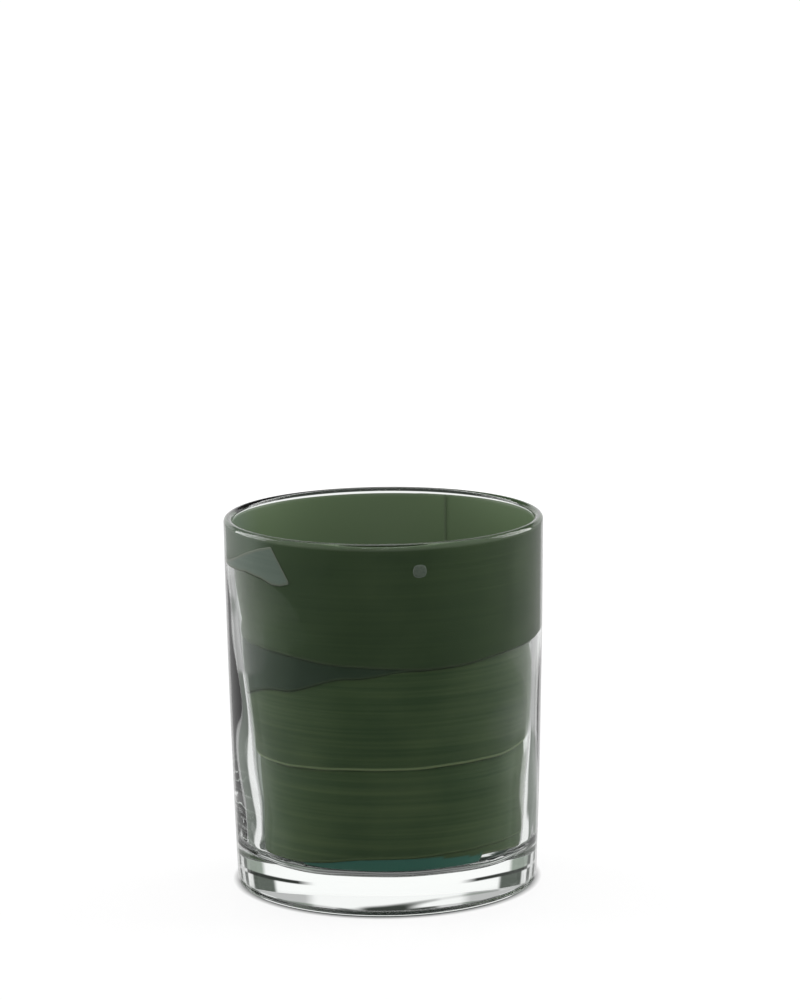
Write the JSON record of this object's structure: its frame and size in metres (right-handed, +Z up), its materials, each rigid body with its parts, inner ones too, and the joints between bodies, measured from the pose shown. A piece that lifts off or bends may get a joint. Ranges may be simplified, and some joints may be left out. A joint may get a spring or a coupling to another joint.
{
  "type": "glass cylinder vase",
  "caption": "Heavy-based clear glass cylinder vase, slightly narrower at the foot, with a lift-out lining of overlapping wound leaves.",
  "frame": {"origin": "on the axis of the glass, in the plane that it stands on", "axes": "+Z up along the axis of the glass, -Y towards the front, +X to the right"},
  "size_m": [0.1524, 0.1524, 0.1778],
  "materials": {
    "clear_glass": "clear pressed soda-lime glass, fire-polished",
    "dark_leaf": "dark green leaf, satin and waxy",
    "green_leaf": "green leaf with fine lengthwise veins, satin and waxy",
    "pale_leaf": "grey-green leaf underside, matt",
    "clear_adhesive": "milky clear pressure-sensitive adhesive"
  },
  "bodies": {
    "vase": {"glass_cylinder": "clear_glass"},
    "leaf_lining": {"upper_leaf_wrap": "dark_leaf", "second_leaf_wrap": "dark_leaf", "middle_leaf_wrap": "green_leaf", "lower_leaf_wrap": "green_leaf", "base_leaf_wrap": "green_leaf", "folded_leaf_tip": "pale_leaf", "adhesive_dot": "clear_adhesive"}
  },
  "joints": [
    {"name": "lining_lift_out", "type": "slide", "parent": "vase", "child": "leaf_lining", "axis": [0, 0, 1], "range_m": [0, 0.165]}
  ]
}
